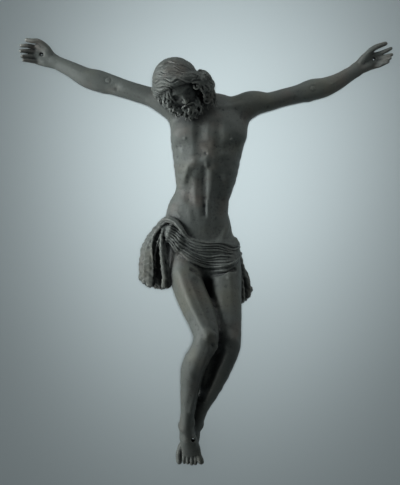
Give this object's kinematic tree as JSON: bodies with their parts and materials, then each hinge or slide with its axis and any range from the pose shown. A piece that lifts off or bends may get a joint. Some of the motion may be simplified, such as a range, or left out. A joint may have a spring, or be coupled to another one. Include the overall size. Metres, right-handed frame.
{
  "type": "crucifix corpus figure",
  "caption": "Slender bearded male figure lying on its back, arms stretched up and out, head bowed to the side, knees bent and feet crossed, with a loincloth knotted on the right hip.",
  "frame": {"origin": "centre of the bounding box in X and Y, on the plane that the figure rests on when it lies on its back, which is the plane of the cross", "axes": "+Y towards the head, +Z out of the front of the body, +X towards the figure's left hand"},
  "size_m": [0.4154, 0.4742, 0.0979],
  "materials": {
    "bronze": "cast bronze with a dark grey-green patina, chased and worn brighter on the raised parts"
  },
  "bodies": {
    "root": {"corpus": "bronze"}
  },
  "joints": []
}
